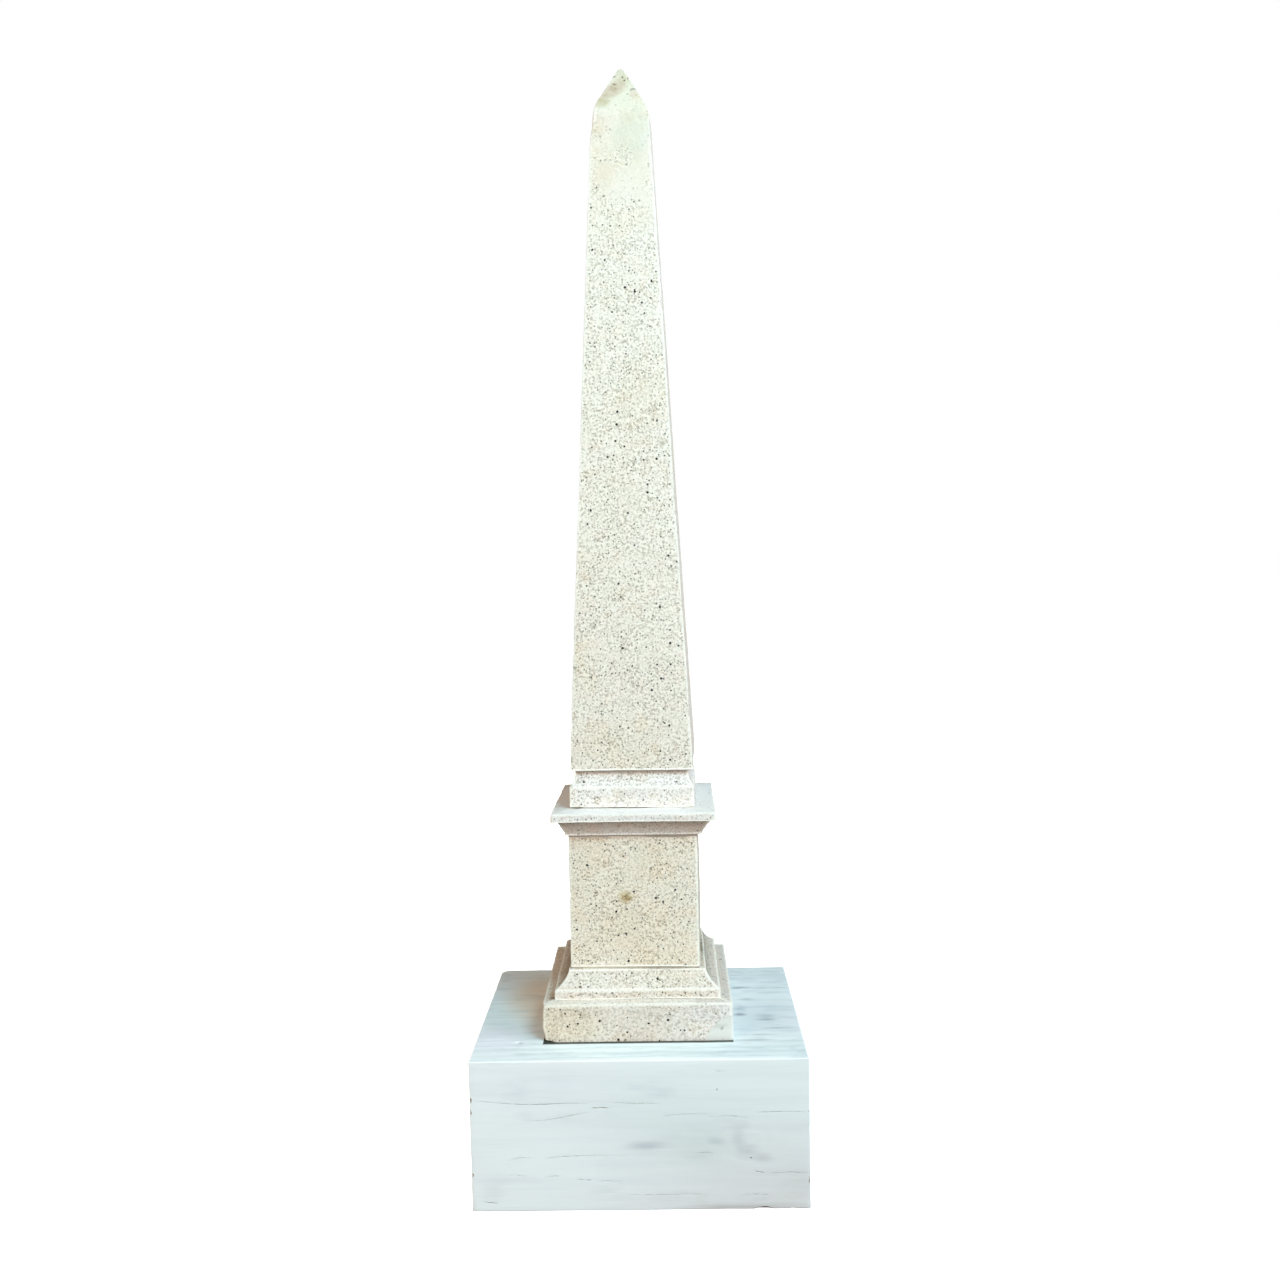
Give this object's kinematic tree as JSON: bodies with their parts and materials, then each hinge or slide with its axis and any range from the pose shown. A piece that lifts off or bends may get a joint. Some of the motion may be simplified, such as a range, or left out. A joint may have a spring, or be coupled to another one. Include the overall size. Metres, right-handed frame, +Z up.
{
  "type": "small carved stone obelisk on a timber block",
  "caption": "Tapering four-sided speckled stone shaft with a pointed cap, on a moulded square pedestal that stands on a white-painted timber block.",
  "frame": {"origin": "middle of the underside of the timber block, on the floor", "axes": "+Z up along the obelisk; +X to the right along the block's long side; +Y from the front of the block to its back"},
  "size_m": [0.303, 0.247, 1.0381],
  "materials": {
    "speckled_stone": "matt, finely rubbed, cream with dark flecks",
    "stone_filler": "smooth pale filler, matt",
    "bedding_mortar": "raked back, matt, stained brown",
    "painted_timber": "white paint worn over the grain, low sheen"
  },
  "bodies": {
    "root": {"block": "painted_timber", "plinth": "speckled_stone", "plinth_repair": "stone_filler", "base_moulding": "speckled_stone", "die_bed": "bedding_mortar", "die": "speckled_stone", "cornice_bed": "bedding_mortar", "cornice": "speckled_stone", "socle": "speckled_stone", "shaft_bed": "bedding_mortar", "shaft": "speckled_stone"}
  },
  "joints": []
}
